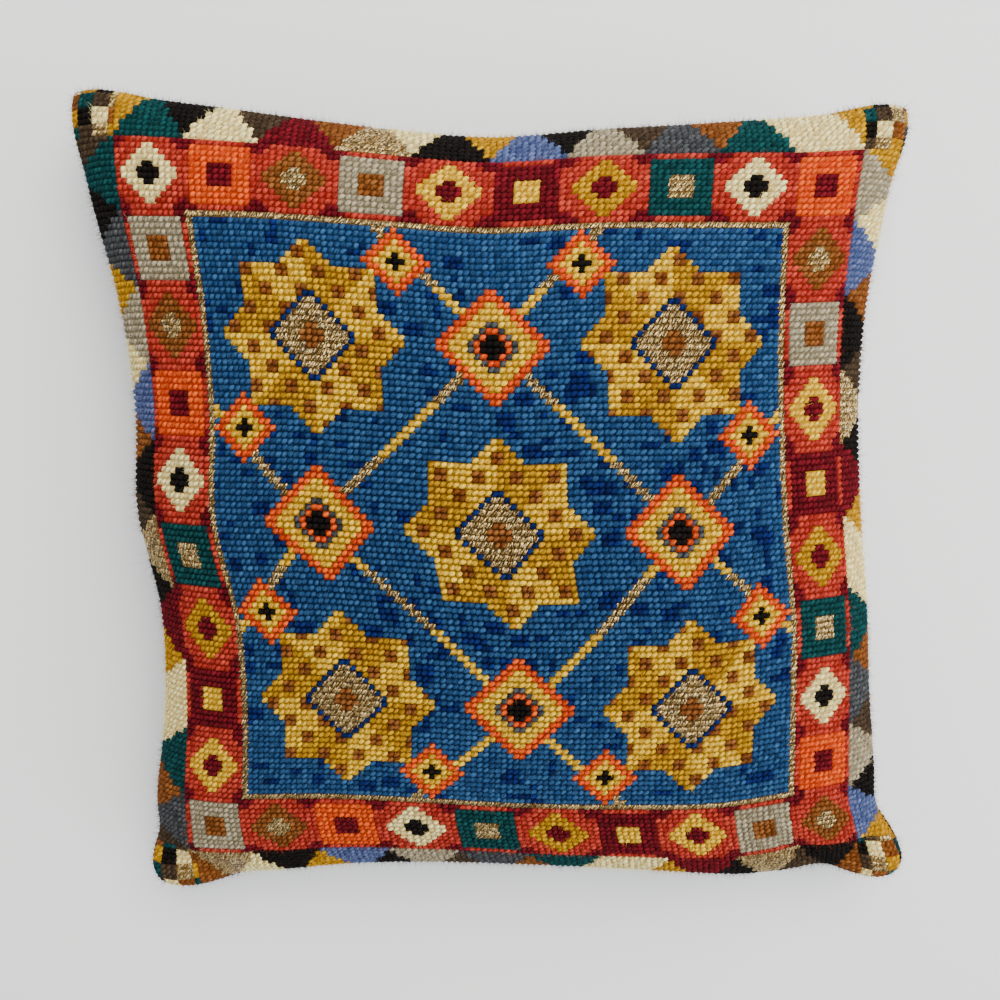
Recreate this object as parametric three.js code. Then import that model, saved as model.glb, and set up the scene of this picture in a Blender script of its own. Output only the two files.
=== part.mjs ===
// A stuffed needlepoint cushion lying on its back: a square stitched panel and a plain backing, sewn together
// at a knife-edge seam, turned and filled. Millimetres, +Z up, resting on z = 0 with the stitched face up.
// A place on either face is given by u, from -1 at the left seam to 1 at the right one, and by v, from -1 at
// the near seam to 1 at the far one. Equal steps of u and v are equal numbers of stitches.

import * as THREE from "three";

// Driving dimensions
const PANEL = 355.6; // stitched panel from seam to seam, a hundred and forty stitches of 2.54
const CROWN = 55; // rise of the filled face above the seam at the middle
const EDGE_THICKNESS = 5; // the turned edge between the two faces, which holds the seam
const SEAM_LIP = 1.5; // how far the sewn line stands out of that edge
const REST_FULLNESS = 0.82; // fullness from which the underside lies flat on the surface
const REST_CURVE = 1.9; // how quickly the underside turns up from that flat patch to the seam
const EAR_REACH = 0.2; // share of half a side over which each corner is rounded
const VALLEY_BOW = 0.75; // power that bows the valley behind an ear towards its tip, straight at 1
const VALLEY_WIDTH = 0.36; // half width of that valley, as a share of its inset
const VALLEY_FADE = 0.2; // fullness below which a valley runs out towards the seam
const LOBE_MIDDLE = 0.45; // where the sides of an ear bulge most, as a share of the valley's inset
const LOBE_WIDTH = 0.25; // half width of that bulge, as a share of the same inset
const LOBE_SHARE = 0.8; // how far they bulge, as a share of the pinch at the valley's ends
const PINCH_SHARPNESS = 12; // power of u or v by which a pinch keeps to the seam
const CELLS = 36; // grid cells along each side of a face
const CELL_EASE = 0.45; // how far the cells narrow towards the seam, where the faces turn most
const WOOL = { color: "#3a6a94", roughness: 0.95, metalness: 0 };

// Tips of the corners before rounding, skewed by the pull of the slanted stitches, how far the rounding takes
// them in, and the valley that parts each ear from the filling: its insets from the tip along the near or far
// seam and along the left or right one, its depth, and how far it pinches both seams in
const CORNERS = {
  farLeft: {
    u: -1,
    v: 1,
    tip: [-187.8, 179.2, 41],
    rounding: 5.5,
    inset: [0.3, 0.3],
    depth: 2,
    pinch: 0.4,
  },
  farRight: {
    u: 1,
    v: 1,
    tip: [171, 173.5, 41],
    rounding: 6.5,
    inset: [0.28, 0.28],
    depth: 1.5,
    pinch: 0.4,
  },
  nearRight: {
    u: 1,
    v: -1,
    tip: [185.4, -175.8, 33],
    rounding: 9,
    inset: [0.315, 0.277],
    depth: 7.5,
    pinch: 3,
  },
  nearLeft: {
    u: -1,
    v: -1,
    tip: [-166, -180.2, 32],
    rounding: 5,
    inset: [0.375, 0.21],
    depth: 6.5,
    pinch: 2.5,
  },
};

// How far the filling draws each side in, at the eighths of its length from the left or near end, and the
// height of the seam half way along
const SIDES = {
  far: {
    ends: ["farLeft", "farRight"],
    inward: new THREE.Vector3(0, -1, 0),
    drawnIn: [7, 13, 18, 21, 17, 13.5, 9],
    height: 44,
  },
  near: {
    ends: ["nearLeft", "nearRight"],
    inward: new THREE.Vector3(0, 1, 0),
    drawnIn: [8, 16, 18, 16.5, 13.5, 9.5, 8.5],
    height: 42,
  },
  left: {
    ends: ["nearLeft", "farLeft"],
    inward: new THREE.Vector3(1, 0, 0),
    drawnIn: [7.5, 17.5, 21.5, 16, 19.5, 16.5, 7],
    height: 43,
  },
  right: {
    ends: ["nearRight", "farRight"],
    inward: new THREE.Vector3(-1, 0, 0),
    drawnIn: [15.8, 21.6, 23.8, 27, 28, 24.3, 14.2],
    height: 43,
  },
};

const FACES = { front: 1, back: -1 };

function cornerPoint(name) {
  return new THREE.Vector3(...CORNERS[name].tip);
}

// Point of one seam curve at w, from -1 at its first end to 1 at its second
function seamPoint({ ends, inward, drawnIn, height }, w) {
  const [first, last] = ends.map(cornerPoint);
  const stations = [0, ...drawnIn, 0].map((depth, i) => new THREE.Vector2(i, depth));
  const share = THREE.MathUtils.clamp((w + 1) / 2, 0, 1);
  const depth = new THREE.SplineCurve(stations).getPoint(share).y;
  const rise = (height - (first.z + last.z) / 2) * (1 - w * w);
  const point = first.lerp(last, share).addScaledVector(inward, depth);
  point.z += rise;
  return point;
}

// Seam surface at u, v: the four seam curves blended into a patch that meets all of them
function seamSurface(u, v) {
  const s = (u + 1) / 2;
  const t = (v + 1) / 2;
  const across = seamPoint(SIDES.near, u).lerp(seamPoint(SIDES.far, u), t);
  const along = seamPoint(SIDES.left, v).lerp(seamPoint(SIDES.right, v), s);
  const near = cornerPoint("nearLeft").lerp(cornerPoint("nearRight"), s);
  const far = cornerPoint("farLeft").lerp(cornerPoint("farRight"), s);
  return across.add(along).sub(near.lerp(far, t));
}

// Place in plan of the stitch at w, where the face rises by the given share of its crown: the steep rise next
// to the seam takes up stitches, so they lie closer together in plan there
function planShare(w, rise) {
  const turn = ((CROWN * rise) / (PANEL / 2)) ** 2;
  const inset = Math.sqrt((1 + 2 * turn) * (1 - Math.abs(w)) ** 2 + turn * turn) - turn;
  return Math.sign(w) * (1 - inset);
}

// The ears at u, v: depth of the valleys behind them, pinch of the seams where those end and bulge between,
// and how far the rounding takes the face in
function ears(u, v) {
  const tip = Math.max(0, (Math.abs(u) + Math.abs(v) - 2) / EAR_REACH + 1);
  const total = { depth: 0, pinch: 0, rounding: 0 };
  for (const corner of Object.values(CORNERS)) {
    const awayU = (1 - corner.u * u) / corner.inset[0];
    const awayV = (1 - corner.v * v) / corner.inset[1];
    const away = (awayU ** VALLEY_BOW + awayV ** VALLEY_BOW) ** (1 / VALLEY_BOW);
    const trough = Math.exp(-(((1 - away) / VALLEY_WIDTH) ** 2));
    const lobe = Math.exp(-(((LOBE_MIDDLE - away) / LOBE_WIDTH) ** 2));
    total.depth += corner.depth * trough;
    total.pinch += corner.pinch * (trough - LOBE_SHARE * lobe);
    if (corner.u * u > 0 && corner.v * v > 0) total.rounding = (corner.rounding * tip ** 2) / Math.SQRT2;
  }
  return total;
}

// Point of the front or back face at u, v
function facePoint(face, u, v) {
  const planU = planShare(u, Math.sqrt(1 - v * v));
  const planV = planShare(v, Math.sqrt(1 - u * u));
  const point = seamSurface(planU, planV);
  const fullness = Math.sqrt(Math.max(0, (1 - planU ** 2) * (1 - planV ** 2)));
  const { depth, pinch, rounding } = ears(u, v);
  point.x -= Math.sign(u) * (rounding + pinch * Math.abs(u) ** PINCH_SHARPNESS);
  point.y -= Math.sign(v) * (rounding + pinch * Math.abs(v) ** PINCH_SHARPNESS);
  const valley = depth * Math.min(1, fullness / VALLEY_FADE);
  if (face === FACES.front) {
    point.z += EDGE_THICKNESS / 2 + CROWN * fullness - valley;
  } else {
    const raised = Math.max(0, 1 - fullness / REST_FULLNESS) ** REST_CURVE;
    point.z = (point.z - EDGE_THICKNESS / 2 + valley) * raised;
  }
  return point;
}

// Place of a grid line, from -1 to 1, closer together towards the seam
function gridShare(i) {
  const even = (2 * i) / CELLS - 1;
  return even + CELL_EASE * (Math.sin((even * Math.PI) / 2) - even);
}

// Grid places around the seam, anticlockwise from above, starting at the near left corner
function seamLoop() {
  const loop = [];
  for (let i = 0; i < CELLS; i += 1) loop.push([i, 0]);
  for (let j = 0; j < CELLS; j += 1) loop.push([CELLS, j]);
  for (let i = CELLS; i > 0; i -= 1) loop.push([i, CELLS]);
  for (let j = CELLS; j > 0; j -= 1) loop.push([0, j]);
  return loop;
}

// The whole cushion as one closed solid: front grid, back grid and the edge with its sewn line between them
function cushionGeometry() {
  const row = CELLS + 1;
  const index = (face, i, j) => (face === FACES.front ? 0 : row * row) + j * row + i;
  const points = [];
  const triangles = [];
  const addQuad = (a, b, c, d) => triangles.push(a, b, c, a, c, d);

  for (const face of Object.values(FACES)) {
    for (let j = 0; j < row; j += 1) {
      for (let i = 0; i < row; i += 1) points.push(facePoint(face, gridShare(i), gridShare(j)));
    }
  }
  for (let j = 0; j < CELLS; j += 1) {
    for (let i = 0; i < CELLS; i += 1) {
      const corners = [[i, j], [i + 1, j], [i + 1, j + 1], [i, j + 1]];
      addQuad(...corners.map(([a, b]) => index(FACES.front, a, b)));
      addQuad(...corners.reverse().map(([a, b]) => index(FACES.back, a, b)));
    }
  }

  const loop = seamLoop();
  const firstLip = points.length;
  const up = new THREE.Vector3(0, 0, 1);
  loop.forEach(([i, j], k) => {
    const [ia, ja] = loop.at(k - 1);
    const [ib, jb] = loop[(k + 1) % loop.length];
    const before = points[index(FACES.front, ia, ja)];
    const after = points[index(FACES.front, ib, jb)];
    const outward = after.clone().sub(before).cross(up).normalize();
    const middle = points[index(FACES.front, i, j)].clone().lerp(points[index(FACES.back, i, j)], 0.5);
    points.push(middle.addScaledVector(outward, SEAM_LIP));
  });
  loop.forEach(([i, j], k) => {
    const next = (k + 1) % loop.length;
    const [ib, jb] = loop[next];
    addQuad(index(FACES.back, i, j), index(FACES.back, ib, jb), firstLip + next, firstLip + k);
    addQuad(firstLip + k, firstLip + next, index(FACES.front, ib, jb), index(FACES.front, i, j));
  });

  const geometry = new THREE.BufferGeometry().setFromPoints(points);
  geometry.setIndex(triangles);
  geometry.computeVertexNormals();
  return geometry;
}

const cushion = new THREE.Mesh(cushionGeometry(), new THREE.MeshStandardMaterial(WOOL));
cushion.name = "needlepoint_cushion";

const group = new THREE.Group();
group.name = "needlepoint_cushion_part";
group.add(cushion);

export default group;
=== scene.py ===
"""Looks of the stuffed needlepoint cushion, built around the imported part.

The cushion is a square of canvas covered with slanted wool stitches, backed with plain cloth, sewn at a
knife-edge seam, turned and filled. A place on either face is given by u, from -1 at the left seam to 1 at
the right one, and by v, from -1 at the near seam to 1 at the far one, in equal numbers of stitches. Sizes
are millimetres, and meshes get metres.
"""

import logging
import math
from abc import ABC, abstractmethod
from dataclasses import dataclass, field
from enum import Enum
from typing import Any

import bpy
import numpy as np
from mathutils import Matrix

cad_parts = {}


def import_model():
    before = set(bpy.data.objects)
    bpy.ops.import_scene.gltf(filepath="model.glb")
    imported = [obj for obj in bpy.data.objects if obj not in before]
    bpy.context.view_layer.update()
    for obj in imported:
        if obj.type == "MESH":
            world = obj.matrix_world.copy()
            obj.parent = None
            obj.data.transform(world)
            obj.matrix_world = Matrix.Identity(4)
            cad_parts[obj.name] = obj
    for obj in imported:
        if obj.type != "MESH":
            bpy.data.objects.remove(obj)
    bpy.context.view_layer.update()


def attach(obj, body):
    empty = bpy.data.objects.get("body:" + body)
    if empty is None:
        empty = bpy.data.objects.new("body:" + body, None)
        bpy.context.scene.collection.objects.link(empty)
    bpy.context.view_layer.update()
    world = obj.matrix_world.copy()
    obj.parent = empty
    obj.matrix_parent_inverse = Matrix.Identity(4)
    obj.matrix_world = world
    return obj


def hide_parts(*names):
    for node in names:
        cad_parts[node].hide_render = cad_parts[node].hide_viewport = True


Array = np.ndarray
Piece = bpy.types.Object
ShaderNode = bpy.types.Node
NodeTree = bpy.types.NodeTree
MM = 0.001
BODY = "root"
NODE = "needlepoint_cushion"
PANEL = 355.6
STITCHES = 140
SEED = 11
BAKE_MAP = "OFBake"
YARN_MAP = "yarn"
PANEL_MAP = "panel"

log = logging.getLogger("cushion")


def linear(colour: str) -> tuple[float, float, float, float]:
    """Turns an sRGB hex colour into linear light.

    Args:
        colour: A hash and six hex digits.

    Returns:
        Linear red, green and blue, and an alpha of one.
    """
    srgb = np.array([int(colour[i : i + 2], 16) for i in (1, 3, 5)]) / 255
    light = np.where(srgb <= 0.04045, srgb / 12.92, ((srgb + 0.055) / 1.055) ** 2.4)
    return (*light.tolist(), 1.0)


def add_node(tree: NodeTree, kind: str, inputs: dict[str | int, Any], **settings: Any) -> ShaderNode:
    """Adds a shader node, sets its properties and sets or links its inputs.

    Args:
        tree: Node tree to add to.
        kind: Name of the node type, without the words that all shader nodes share.
        inputs: For each input, by name or number, a value, an output socket, or a node whose first output
            in use is linked.
        **settings: Properties of the node.

    Returns:
        The new node.
    """
    node = tree.nodes.new(f"ShaderNode{kind}")
    for name, value in settings.items():
        setattr(node, name, value)
    for name, value in inputs.items():
        if isinstance(value, ShaderNode):
            value = next(socket for socket in value.outputs if socket.enabled)
        if isinstance(value, bpy.types.NodeSocket):
            tree.links.new(value, node.inputs[name])
        else:
            node.inputs[name].default_value = value
    return node


def unit(vectors: Array) -> Array:
    """Returns the vectors scaled to length one."""
    return vectors / np.maximum(np.linalg.norm(vectors, axis=-1, keepdims=True), 1e-9)


def mesh_object(name: str, points: Array, corners: Array, counts: Array) -> Piece:
    """Makes a smooth mesh object from arrays and lets it ride on the part's body.

    Args:
        name: Name of the piece.
        points: Vertex places in millimetres, one row each.
        corners: Vertex numbers of all faces, one face after another.
        counts: Number of corners of each face.

    Returns:
        The object, at the origin.
    """
    mesh = bpy.data.meshes.new(name)
    mesh.vertices.add(len(points))
    mesh.vertices.foreach_set("co", (points * MM).astype(np.float32).ravel())
    mesh.loops.add(len(corners))
    mesh.loops.foreach_set("vertex_index", corners.astype(np.int32))
    mesh.polygons.add(len(counts))
    starts = np.concatenate([[0], np.cumsum(counts)[:-1]])
    mesh.polygons.foreach_set("loop_start", starts.astype(np.int32))
    mesh.update(calc_edges=True)
    mesh.shade_smooth()
    piece = bpy.data.objects.new(name, mesh)
    bpy.context.scene.collection.objects.link(piece)
    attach(piece, BODY)
    return piece


def doubled(lattice: Array) -> Array:
    """Fills a lattice in half way between its points, by a cubic through two neighbours on each side.

    That is nine sixteenths of each near neighbour, less one sixteenth of each far one.

    Args:
        lattice: One vector for each place of a grid.

    Returns:
        The finer lattice, which keeps the old vectors.
    """
    for axis in (0, 1):
        lines = np.moveaxis(lattice, axis, 0)
        wide = np.concatenate([2 * lines[:1] - lines[1:2], lines, 2 * lines[-1:] - lines[-2:-1]])
        finer = np.empty((2 * len(lines) - 1, *lines.shape[1:]))
        finer[::2] = lines
        finer[1::2] = (9 * (wide[1:-2] + wide[2:-1]) - wide[:-3] - wide[3:]) / 16
        lattice = np.moveaxis(finer, 0, axis)
    return lattice


def closed_cover(size: int) -> tuple[Array, Array, Array]:
    """Numbers the points and faces of two square lattices that share the points of their rim.

    Args:
        size: Points along each side of a lattice.

    Returns:
        Which places are on the rim, and the corner points of the upper and of the lower faces, where the
        upper lattice comes first and then the inner places of the lower one.
    """
    upper = np.arange(size * size).reshape(size, size)
    rim = np.ones((size, size), bool)
    rim[1:-1, 1:-1] = False
    lower = upper.copy()
    lower[~rim] = size * size + np.arange((~rim).sum())
    upper_faces = np.stack([upper[:-1, :-1], upper[:-1, 1:], upper[1:, 1:], upper[1:, :-1]], -1)
    lower_faces = np.stack([lower[:-1, :-1], lower[1:, :-1], lower[1:, 1:], lower[:-1, 1:]], -1)
    return rim, upper_faces.reshape(-1, 4), lower_faces.reshape(-1, 4)


def set_attribute(piece: Piece, name: str, domain: str, values: Array) -> None:
    """Stores a number or a colour for each vertex or face of a piece.

    Args:
        piece: Object to store it on.
        name: Name that the material reads.
        domain: POINT or FACE.
        values: One number, or one linear colour, for each element.
    """
    kind, key = ("FLOAT", "value") if values.ndim == 1 else ("FLOAT_COLOR", "color")
    layer = piece.data.attributes.new(name, kind, domain)
    layer.data.foreach_set(key, values.astype(np.float32).ravel())


def set_map(piece: Piece, name: str, places: Array) -> None:
    """Stores a UV map, one place for each face corner."""
    piece.data.uv_layers.new(name=name).data.foreach_set("uv", places.astype(np.float32).ravel())


def map_cells(number: int) -> tuple[int, Array]:
    """Deals out square cells of a map, one to each of many like shapes.

    Args:
        number: How many shapes there are.

    Returns:
        Cells along a side of the map, and the column and row of each shape's cell.
    """
    side = math.ceil(math.sqrt(number))
    return side, np.stack([np.arange(number) % side, np.arange(number) // side], -1)


class Yarn(Enum):
    """Yarns of the design, each with the sRGB colours of its dark and light strands."""

    MID_BLUE = ("#153b68", "#325d89")
    NAVY = ("#071848", "#10286a")
    RED = ("#a5251b", "#c64433")
    ORANGE = ("#db4009", "#f16421")
    MAROON = ("#560610", "#7b1020")
    CREAM = ("#fbdd8c", "#fff3b0")
    STRAW = ("#e3ab1f", "#f9ce3f")
    MUSTARD = ("#af7905", "#d5a114")
    TEAL = ("#033637", "#0b4c4d")
    BLACK = ("#090605", "#19120d")
    BROWN = ("#743c0f", "#955b2a")
    UMBER = ("#2f120c", "#49231a")
    GREY = ("#393c3f", "#545658")
    TAUPE = ("#392b1d", "#51402e")
    STONE = ("#988b6c", "#b8ac90")
    PERIWINKLE = ("#475685", "#6672a0")
    GOLD = ("#8b692f", "#e6ca8a")

    @property
    def number(self) -> int:
        """Place of the yarn in the design's chart."""
        return list(Yarn).index(self)


class Finish(ABC):
    """Finish of a surface, named for the real material. Each kind gives its own inputs to the shader."""

    name: str
    roughness: float
    specular: float

    @abstractmethod
    def inputs(self, tree: NodeTree) -> dict[str, Any]:
        """Adds the finish's own nodes to a tree.

        Args:
            tree: Node tree to add to.

        Returns:
            Values and nodes for inputs of the shader.
        """

    def material(self) -> bpy.types.Material:
        """Makes the material, with one shader linked to its output.

        Returns:
            The material.
        """
        material = bpy.data.materials.new(self.name)
        material.use_nodes = True
        tree = material.node_tree
        tree.nodes.clear()
        plain = {"Roughness": self.roughness, "Specular IOR Level": self.specular}
        shader = add_node(tree, "BsdfPrincipled", plain | self.inputs(tree))
        add_node(tree, "OutputMaterial", {"Surface": shader})
        return material


@dataclass(frozen=True)
class TapestryWool(Finish):
    """Tapestry wool: a soft worsted yarn, matt, with a faint bloom of loose fibre over its twisted plies."""

    yarn: Yarn
    roughness: float = 0.92
    specular: float = 0.12
    sheen: float = 0.12
    sheen_roughness: float = 0.45
    stitch_length: float = 3.0
    girth: float = 6.2
    # The yarn's four plies are too fine to show, so they are drawn as two broad ones, with painted shade in
    # the grooves between them.
    plies: int = 2
    twist_turns: float = 0.12
    ply_relief: float = 0.25
    ply_shade: float = 0.5
    bump: float = 0.6
    # Single fibres are too fine to show, so streaks of many are drawn.
    fibre_length: float = 1.5
    fibre_width: float = 0.62
    fibre_low: float = 0.3
    fibre_high: float = 0.6
    fibre_shade: float = 0.55
    # Painted shade at the roots, where each strand dives into a canvas hole.
    root_shade: float = 0.36

    @property
    def name(self) -> str:
        """Name of the wool in its dye."""
        return f"tapestry_wool_{self.yarn.name.lower()}"

    def inputs(self, tree: NodeTree) -> dict[str, Any]:
        """Adds strand shades, painted shade at the roots where they dive into the canvas holes, twisted
        plies with painted shade in the grooves between them, and fibre streaks.

        Args:
            tree: Node tree to add to.

        Returns:
            Inputs of the shader.
        """
        dark, light = (linear(colour) for colour in self.yarn.value)
        shade = add_node(tree, "Attribute", {}, attribute_name="shade").outputs["Fac"]
        dye = add_node(tree, "Mix", {"Factor": shade, "A": dark, "B": light}, data_type="RGBA")
        place = add_node(tree, "UVMap", {}, uv_map=YARN_MAP)
        split = add_node(tree, "SeparateXYZ", {"Vector": place}).outputs
        turns = add_node(tree, "Math", {0: split["X"], 1: self.twist_turns}, operation="MULTIPLY")
        winding = add_node(tree, "Math", {0: split["Y"], 1: turns}, operation="ADD")
        phase = add_node(tree, "Math", {0: winding, 1: math.tau * self.plies}, operation="MULTIPLY")
        ply = add_node(tree, "Math", {0: phase}, operation="SINE")
        stretch = (self.stitch_length / self.fibre_length, self.girth / self.fibre_width, 1.0)
        streaks = add_node(tree, "Mapping", {"Vector": place, "Scale": stretch})
        noise = {"Vector": streaks, "Scale": 1.0, "Detail": 1.0}
        fibres = add_node(tree, "TexNoise", noise, noise_dimensions="2D")
        # Painted shade at the roots: darkest at the strand's ends, in the canvas holes.
        rise = add_node(tree, "Attribute", {}, attribute_name="rise").outputs["Fac"]
        depth = add_node(tree, "MapRange", {"Value": rise, "To Min": self.root_shade})
        # Painted shade in the grooves between the twisted plies.
        grooves = {"Value": ply, "From Min": -1.0, "From Max": 0.0, "To Min": self.ply_shade}
        ply_groove_shade = add_node(tree, "MapRange", grooves)
        tones = {"From Min": self.fibre_low, "From Max": self.fibre_high, "To Min": self.fibre_shade}
        tone = add_node(tree, "MapRange", {"Value": fibres} | tones)
        lines = add_node(tree, "Math", {0: tone, 1: ply_groove_shade}, operation="MULTIPLY")
        # Painted shade of the roots and of the ply grooves, together with the fibre streaks.
        shadow = add_node(tree, "Math", {0: depth, 1: lines}, operation="MULTIPLY")
        layers = {"Factor": 1.0, "A": dye, "B": shadow}
        relief = {"Height": ply, "Strength": self.bump, "Distance": self.ply_relief * MM}
        return {
            "Base Color": add_node(tree, "Mix", layers, data_type="RGBA", blend_type="MULTIPLY"),
            "Sheen Weight": self.sheen,
            "Sheen Roughness": self.sheen_roughness,
            "Sheen Tint": light,
            "Normal": add_node(tree, "Bump", relief),
        }


@dataclass(frozen=True)
class MetallicThread(Finish):
    """Gilt embroidery thread: narrow foil wound with gaps round a dark core; its glints are painted as small
    spots of bright foil on the dark core.
    """

    name: str = "gilt_embroidery_thread"
    yarn: Yarn = Yarn.GOLD
    core: str = "#33260f"
    roughness: float = 0.34
    specular: float = 0.5
    metallic: float = 0.75
    # Turns of the foil are too fine to show, so a few painted glints to a stitch are drawn, bright foil on
    # the dark core.
    spots: float = 3.2
    foil_share: float = 0.46
    foil_edge: float = 0.06
    foil_relief: float = 0.12
    bump: float = 0.7

    def inputs(self, tree: NodeTree) -> dict[str, Any]:
        """Adds foil over the core in spots of uneven size, as painted glints, and a shade for each strand
        that also paints its sparkle.

        Args:
            tree: Node tree to add to.

        Returns:
            Inputs of the shader.
        """
        dark, light = (linear(colour) for colour in self.yarn.value)
        shade = add_node(tree, "Attribute", {}, attribute_name="shade").outputs["Fac"]
        foil = add_node(tree, "Mix", {"Factor": shade, "A": dark, "B": light}, data_type="RGBA")
        place = add_node(tree, "UVMap", {}, uv_map=BAKE_MAP)
        cells = add_node(tree, "Attribute", {}, attribute_name="cells").outputs["Fac"]
        scale = add_node(tree, "Math", {0: cells, 1: self.spots}, operation="MULTIPLY")
        noise = {"Vector": place, "Scale": scale, "Detail": 1.0}
        glints = add_node(tree, "TexNoise", noise, noise_dimensions="2D")
        low = self.foil_share - self.foil_edge
        high = self.foil_share + self.foil_edge
        # Painted glints: the bright foil colour shows in the spots, the dark core between them.
        spots = add_node(tree, "MapRange", {"Value": glints, "From Min": low, "From Max": high})
        layers = {"Factor": spots, "A": linear(self.core), "B": foil}
        relief = {"Height": spots, "Strength": self.bump, "Distance": self.foil_relief * MM}
        return {
            "Base Color": add_node(tree, "Mix", layers, data_type="RGBA"),
            "Metallic": add_node(tree, "Math", {0: spots, 1: self.metallic}, operation="MULTIPLY"),
            "Normal": add_node(tree, "Bump", relief),
        }


@dataclass(frozen=True)
class BackingCloth(Finish):
    """Plain-woven cotton backing, piece-dyed: fine crossed threads and a dry, even colour, painted lighter
    where the weave rises and darker where it dips.
    """

    name: str = "plain_cotton_backing"
    # Shaded and lit colours of the one dye: painted shade where the weave dips, painted highlight where it
    # rises.
    dark: str = "#16233a"
    light: str = "#283c5b"
    # Real threads are finer. They are drawn this coarse so that the weave shows.
    thread: float = 0.9
    relief: float = 0.12
    bump: float = 0.6
    roughness: float = 0.95
    specular: float = 0.1
    sheen: float = 0.03

    def inputs(self, tree: NodeTree) -> dict[str, Any]:
        """Adds the weave: two crossed waves along the panel's own directions.

        Args:
            tree: Node tree to add to.

        Returns:
            Inputs of the shader.
        """
        place = add_node(tree, "UVMap", {}, uv_map=PANEL_MAP)
        split = add_node(tree, "SeparateXYZ", {"Vector": place}).outputs
        waves = []
        for axis in ("X", "Y"):
            turns = {0: split[axis], 1: math.pi * PANEL / self.thread}
            phase = add_node(tree, "Math", turns, operation="MULTIPLY")
            waves.append(add_node(tree, "Math", {0: phase}, operation="SINE"))
        weave = add_node(tree, "Math", {0: waves[0], 1: waves[1]}, operation="MULTIPLY")
        # Painted shade and highlight of the weave, by its rise.
        tone = add_node(tree, "MapRange", {"Value": weave, "From Min": -1.0})
        threads = {"Factor": tone, "A": linear(self.dark), "B": linear(self.light)}
        relief = {"Height": weave, "Strength": self.bump, "Distance": self.relief * MM}
        return {
            "Base Color": add_node(tree, "Mix", threads, data_type="RGBA"),
            "Sheen Weight": self.sheen,
            "Normal": add_node(tree, "Bump", relief),
        }


@dataclass(frozen=True)
class PlainFinish(Finish):
    """A plain finish in one colour or, where none is given, in the colours stored on the mesh."""

    name: str
    roughness: float
    specular: float
    colour: str = ""

    def inputs(self, tree: NodeTree) -> dict[str, Any]:
        """Gives the colour.

        Args:
            tree: Node tree to add to.

        Returns:
            Inputs of the shader.
        """
        if self.colour:
            return {"Base Color": linear(self.colour)}
        return {"Base Color": add_node(tree, "Attribute", {}, attribute_name="dye")}


# Cotton canvas under the stitches: only its holes show, painted in the deep shade of the wool around them.
CANVAS_IN_PAINTED_SHADE = PlainFinish("canvas_in_painted_wool_shade", roughness=1.0, specular=0.05)
# Loose wool fibre: single hairs that have worked out of the stitches, with a little gloss of their own.
LOOSE_WOOL = PlainFinish("loose_wool_fibre", roughness=0.8, specular=0.3)
# Matt white card under the cushion, plain and even.
PALE_CARD = PlainFinish("matt_white_card", roughness=0.9, specular=0.1, colour="#ecedec")


@dataclass(frozen=True)
class Corner:
    """Tip of a corner before rounding, in millimetres, and the valley that parts its ear from the filling.

    The valley runs from one seam to the other at a share of each from the tip, and pinches both seams in.
    """

    u: int
    v: int
    x: float
    y: float
    z: float
    rounding: float
    inset: tuple[float, float]
    depth: float
    pinch: float

    @property
    def tip(self) -> Array:
        """The tip as one point."""
        return np.array([self.x, self.y, self.z])


FAR_LEFT = Corner(-1, 1, -187.8, 179.2, 41.0, 5.5, (0.30, 0.30), 2.0, 0.4)
FAR_RIGHT = Corner(1, 1, 171.0, 173.5, 41.0, 6.5, (0.28, 0.28), 1.5, 0.4)
NEAR_RIGHT = Corner(1, -1, 185.4, -175.8, 33.0, 9.0, (0.315, 0.277), 7.5, 3.0)
NEAR_LEFT = Corner(-1, -1, -166.0, -180.2, 32.0, 5.0, (0.375, 0.21), 6.5, 2.5)
CORNERS = (FAR_LEFT, FAR_RIGHT, NEAR_RIGHT, NEAR_LEFT)


@dataclass(frozen=True)
class Side:
    """One seam between two corners, drawn in by the filling at the eighths of its length."""

    first: Corner
    last: Corner
    inward: tuple[int, int]
    drawn_in: tuple[float, ...]
    height: float

    def points(self, w: Array) -> Array:
        """Works out the seam: a straight line between the tips, a smooth curve inwards and a bow in height.

        Args:
            w: Places along the seam, from -1 to 1.

        Returns:
            One point for each place.
        """
        knots = np.concatenate([[0.0, 0.0], self.drawn_in, [0.0, 0.0]])
        spans = len(self.drawn_in) + 1
        share = np.clip((w + 1) / 2, 0, 1)
        start = np.minimum((share * spans).astype(int), spans - 1)
        t = share * spans - start
        a, b, c, d = (knots[start + i] for i in range(4))
        slope_b = (c - a) / 2
        slope_c = (d - b) / 2
        curve = (2 * b - 2 * c + slope_b + slope_c) * t**3
        curve += (3 * c - 3 * b - 2 * slope_b - slope_c) * t**2 + slope_b * t + b
        points = self.first.tip + (self.last.tip - self.first.tip) * share[..., None]
        points[..., :2] += curve[..., None] * np.array(self.inward)
        points[..., 2] += (self.height - (self.first.z + self.last.z) / 2) * (1 - w * w)
        return points


FAR_SIDE = Side(FAR_LEFT, FAR_RIGHT, (0, -1), (7.0, 13.0, 18.0, 21.0, 17.0, 13.5, 9.0), 44.0)
NEAR_SIDE = Side(NEAR_LEFT, NEAR_RIGHT, (0, 1), (8.0, 16.0, 18.0, 16.5, 13.5, 9.5, 8.5), 42.0)
LEFT_SIDE = Side(NEAR_LEFT, FAR_LEFT, (1, 0), (7.5, 17.5, 21.5, 16.0, 19.5, 16.5, 7.0), 43.0)
RIGHT_SIDE = Side(NEAR_RIGHT, FAR_RIGHT, (-1, 0), (15.8, 21.6, 23.8, 27.0, 28.0, 24.3, 14.2), 43.0)


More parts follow.
